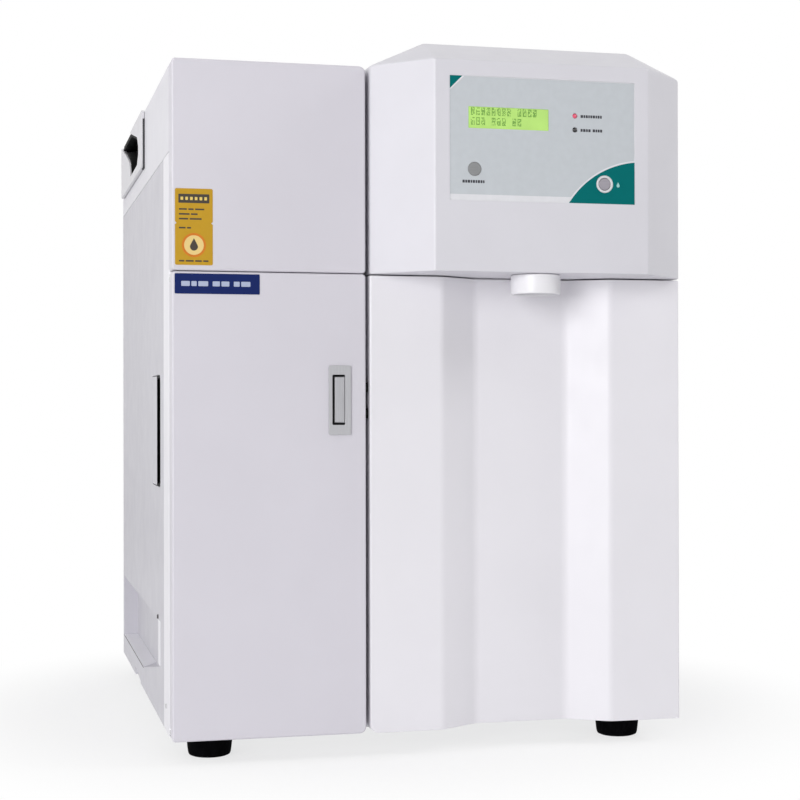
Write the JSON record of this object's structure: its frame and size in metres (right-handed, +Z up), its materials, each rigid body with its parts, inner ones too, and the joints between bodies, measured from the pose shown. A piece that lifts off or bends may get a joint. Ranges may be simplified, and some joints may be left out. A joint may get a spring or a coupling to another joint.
{
  "type": "laboratory water purifier",
  "caption": "Sheet steel laboratory water purifier with a hinged filter door, a faceted display header over a dispensing bay, and carry handles in its sides.",
  "frame": {"origin": "middle of the footprint, on the surface that the feet stand on", "axes": "+Z up, +X to the right seen from the front, +Y from the front to the rear"},
  "size_m": [0.416, 0.54, 0.555],
  "materials": {
    "white_powder_coat": "satin powder coat",
    "white_moulding": "satin moulded",
    "galvanised_steel": "bright zinc",
    "black_rubber": "matt",
    "black_plastic": "fine texture",
    "grey_plastic": "satin moulded",
    "overlay_film": "satin printed film",
    "display_glass": "clear window over a green display",
    "red_lens": "polished lens",
    "dark_lens": "polished lens",
    "board_green": "solder mask",
    "clear_housing": "translucent moulded",
    "natural_polyethylene": "waxy moulded",
    "blue_tube": "extruded",
    "motor_enamel": "enamelled die casting",
    "supply_case": "folded sheet"
  },
  "bodies": {
    "cabinet": {"base_tray": "galvanised_steel", "booster_pump": "motor_enamel", "carbon_cartridge": "white_moulding", "cartridge_bracket": "galvanised_steel", "centre_partition": "galvanised_steel", "control_board": "board_green", "delivery_pump": "motor_enamel", "dispense_ring": "white_moulding", "dispense_valve": "black_plastic", "display_overlay": "overlay_film", "drain_fitting": "white_moulding", "equipment_shelf": "galvanised_steel", "feed_fitting": "white_moulding", "foot_front_left": "black_rubber", "foot_front_right": "black_rubber", "foot_rear_left": "black_rubber", "foot_rear_right": "black_rubber", "front_frame": "white_powder_coat", "handle_cup_left": "black_plastic", "handle_cup_right": "black_plastic", "handle_frame_left": "white_moulding", "handle_frame_right": "white_moulding", "header_hood": "white_moulding", "hinge_bracket_lower": "galvanised_steel", "hinge_bracket_upper": "galvanised_steel", "hinge_pin_lower": "galvanised_steel", "hinge_pin_upper": "galvanised_steel", "lcd_module": "display_glass", "led_run": "red_lens", "led_tank": "dark_lens", "left_side_panel": "white_powder_coat", "lower_front_cover": "white_powder_coat", "membrane_vessel_left": "white_moulding", "membrane_vessel_right": "white_moulding", "nozzle_shroud": "white_moulding", "nozzle_tip": "grey_plastic", "power_inlet": "black_plastic", "power_supply": "supply_case", "rear_panel": "white_powder_coat", "reservoir_tank": "natural_polyethylene", "right_side_panel": "white_powder_coat", "sediment_cartridge": "clear_housing", "side_pull_left": "black_plastic", "side_pull_right": "black_plastic", "strike_clip": "black_plastic", "switch_frame": "black_plastic", "tank_lid": "blue_tube", "top_cover": "white_powder_coat", "tube_delivery": "blue_tube", "tube_feed": "blue_tube", "tube_permeate": "blue_tube", "upper_front_panel": "white_powder_coat"},
    "door": {"door_panel": "white_powder_coat", "door_liner": "white_powder_coat", "latch_housing": "grey_plastic"},
    "latch_lever": {"latch_lever": "grey_plastic"},
    "latch_bolt": {"latch_bolt": "galvanised_steel"},
    "mode_button": {"mode_button": "grey_plastic"},
    "dispense_button": {"dispense_button": "grey_plastic"},
    "power_rocker": {"power_rocker": "black_plastic"}
  },
  "joints": [
    {"name": "door_hinge", "type": "hinge", "parent": "cabinet", "child": "door", "pos_m": [-0.2015, -0.2111, 0.196], "axis": [0, 0, -1], "range_deg": [0, 110]},
    {"name": "latch_lever_hinge", "type": "hinge", "parent": "door", "child": "latch_lever", "pos_m": [-0.0731, -0.22925, 0.276], "axis": [0, 0, 1], "range_deg": [0, 30]},
    {"name": "latch_bolt_slide", "type": "slide", "parent": "door", "child": "latch_bolt", "axis": [-1, 0, 0], "range_m": [0, 0.0049], "stiffness_N_per_m": 250},
    {"name": "mode_button_press", "type": "slide", "parent": "cabinet", "child": "mode_button", "axis": [0, 1, 0], "range_m": [0, 0.0008], "stiffness_N_per_m": 1200},
    {"name": "dispense_button_press", "type": "slide", "parent": "cabinet", "child": "dispense_button", "axis": [0, 1, 0], "range_m": [0, 0.0008], "stiffness_N_per_m": 1200},
    {"name": "power_rocker_hinge", "type": "hinge", "parent": "cabinet", "child": "power_rocker", "pos_m": [-0.105, 0.2484, 0.458], "axis": [1, 0, 0], "range_deg": [0, 20]}
  ],
  "couplings": [
    {"joint": "latch_lever_hinge", "follows": "latch_bolt_slide", "rad_per_m": 106}
  ]
}
